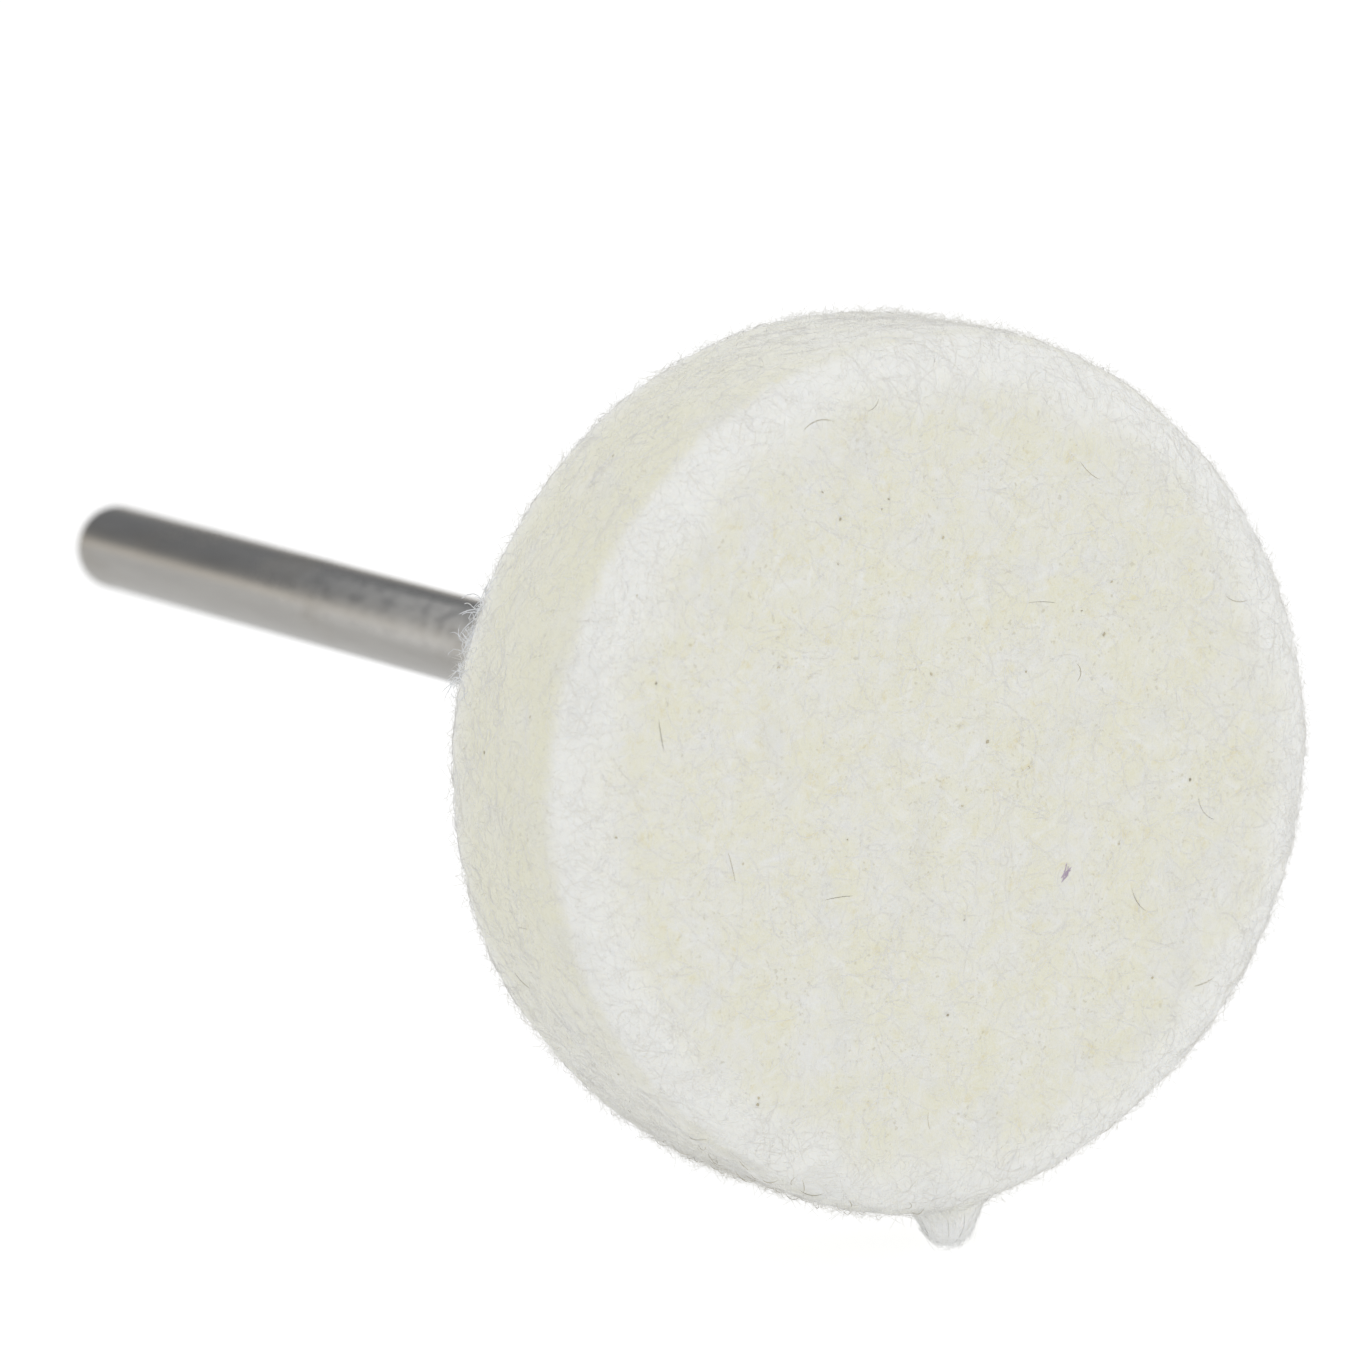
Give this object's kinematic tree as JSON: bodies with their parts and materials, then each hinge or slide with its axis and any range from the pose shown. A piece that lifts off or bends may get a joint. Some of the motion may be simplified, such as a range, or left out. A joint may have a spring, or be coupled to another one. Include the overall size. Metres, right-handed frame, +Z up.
{
  "type": "mounted felt polishing wheel",
  "caption": "Flat-faced hard wool felt disc with soft rounded edges, glued onto the fluted head of a plain round steel shank for a handpiece or rotary tool.",
  "frame": {"origin": "centre of the felt's flat working face, on the spin axis", "axes": "+Y along the spin axis from the flat working face towards the tail of the shank, +Z up, so the working face looks along -Y"},
  "size_m": [0.022, 0.048, 0.022],
  "materials": {
    "wool_felt": "pressed natural wool felt, cream white, matt with fine surface fibres",
    "shank_steel": "ground bright steel with light drawing marks along its length",
    "cured_glue": "cured adhesive, pale amber"
  },
  "bodies": {
    "root": {"felt_wheel": "wool_felt", "shank": "shank_steel", "glue_bond": "cured_glue"}
  },
  "joints": []
}
